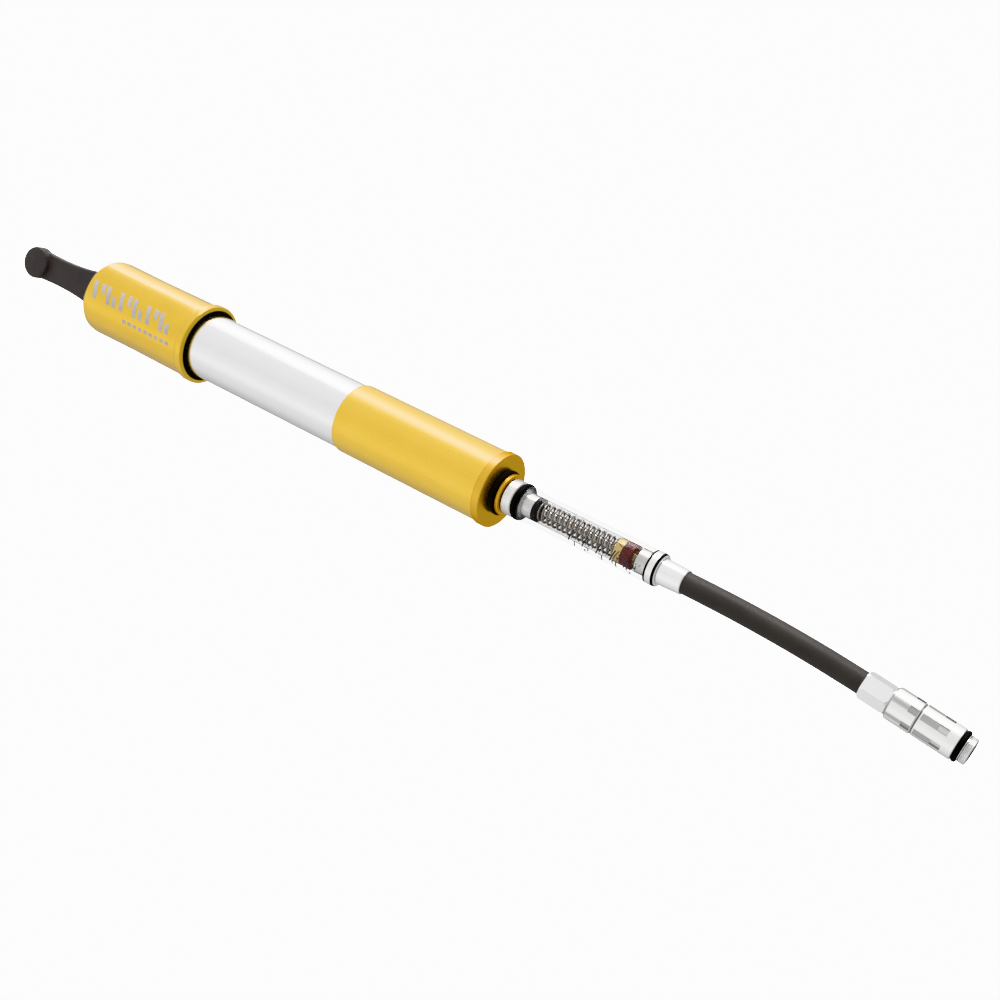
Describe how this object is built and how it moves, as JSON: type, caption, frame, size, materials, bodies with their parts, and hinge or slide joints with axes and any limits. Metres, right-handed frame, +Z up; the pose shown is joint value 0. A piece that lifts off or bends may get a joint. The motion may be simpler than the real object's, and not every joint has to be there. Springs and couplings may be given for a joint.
{
  "type": "shock suspension pump",
  "caption": "Slim high-pressure hand pump with sliding handle, inline clear pressure gauge and screw-on hose with valve chuck, lying on its side.",
  "frame": {"origin": "on the floor, under the middle of the pump without its free hose and chuck", "axes": "+X along the pump from handle to hose, +Z up from the floor"},
  "size_m": [0.4693, 0.035, 0.035],
  "materials": {
    "gold": "gold anodised",
    "gold_edge": "gold anodised, turned",
    "barrel_silver": "polished",
    "satin_silver": "satin",
    "chrome_ferrule": "bright plated",
    "inner_alu": "turned",
    "brass": "turned",
    "steel": "bright",
    "clear": "clear moulded",
    "black_rubber": "matt",
    "plug_rubber": "soft matt",
    "hose_rubber": "satin",
    "red_seal": "satin",
    "black_plastic": "moulded"
  },
  "bodies": {
    "barrel": {"barrel_tube": "barrel_silver", "front_sleeve": "gold", "pump_head": "gold_edge", "head_o_ring": "black_rubber", "face_ring": "black_rubber", "core_tube": "inner_alu", "valve_seat": "brass", "valve_spring": "steel", "valve_retainer": "brass", "rear_guide": "black_plastic", "rod_wiper": "black_rubber"},
    "handle": {"handle_shell": "gold", "handle_bush": "black_plastic", "piston_rod": "inner_alu", "piston": "inner_alu", "piston_outer_seal": "black_rubber", "piston_inner_seal": "black_rubber"},
    "plug": {"end_plug": "plug_rubber"},
    "valve": {"valve_ball": "steel"},
    "hose_carrier": {"nipple_o_ring": "black_rubber"},
    "hose_line": {"hose_nipple": "satin_silver", "gauge_o_ring": "black_rubber", "gauge_tube": "clear", "gauge_stem": "steel", "gauge_spring_seat": "black_plastic", "gauge_spring": "steel", "gauge_cap": "satin_silver", "gauge_front_ring": "black_rubber", "gauge_cap_ring": "black_rubber", "front_ferrule": "chrome_ferrule", "hose": "hose_rubber", "rear_ferrule": "chrome_ferrule", "chuck_stem": "satin_silver"},
    "indicator": {"indicator_piston": "brass", "indicator_seal": "red_seal"},
    "knob": {"chuck_knob": "satin_silver"},
    "pin": {"depressor_pin": "brass"},
    "collar": {"chuck_collar": "satin_silver", "chuck_o_ring": "black_rubber", "collar_retainer": "steel", "valve_washer": "black_rubber"}
  },
  "joints": [
    {"name": "handle_stroke", "type": "slide", "parent": "barrel", "child": "handle", "axis": [-1, 0, 0], "range_m": [0, 0.13]},
    {"name": "plug_pull", "type": "slide", "parent": "handle", "child": "plug", "axis": [-1, 0, 0], "range_m": [0, 0.0095]},
    {"name": "valve_lift", "type": "slide", "parent": "barrel", "child": "valve", "axis": [1, 0, 0], "range_m": [0, 0.0008], "stiffness_N_per_m": 150, "springref_m": -0.001, "deforming": ["valve_spring"]},
    {"name": "hose_turn", "type": "hinge", "parent": "hose_carrier", "child": "hose_line", "pos_m": [0.09392, 0, 0.0175], "axis": [1, 0, 0], "range_deg": [0, 2881]},
    {"name": "hose_advance", "type": "slide", "parent": "barrel", "child": "hose_carrier", "axis": [1, 0, 0], "range_m": [0, 0.008]},
    {"name": "indicator_slide", "type": "slide", "parent": "hose_line", "child": "indicator", "axis": [-1, 0, 0], "range_m": [0, 0.03], "stiffness_N_per_m": 300, "springref_m": -0.002, "deforming": ["gauge_spring"]},
    {"name": "knob_turn", "type": "hinge", "parent": "hose_line", "child": "knob", "pos_m": [0.26572, 0, 0.00964], "axis": [0.9875, 0, -0.1576], "range_deg": [0, 541]},
    {"name": "pin_push", "type": "slide", "parent": "hose_line", "child": "pin", "axis": [0.9875, 0, -0.1576], "range_m": [0, 0.0015]},
    {"name": "collar_spin", "type": "hinge", "parent": "hose_line", "child": "collar", "pos_m": [0.27954, 0, 0.00744], "axis": [0.9875, 0, -0.1576], "continuous": true}
  ],
  "couplings": [
    {"joint": "hose_turn", "follows": "hose_advance", "rad_per_m": 6283.2},
    {"joint": "knob_turn", "follows": "pin_push", "rad_per_m": 6283.2}
  ]
}
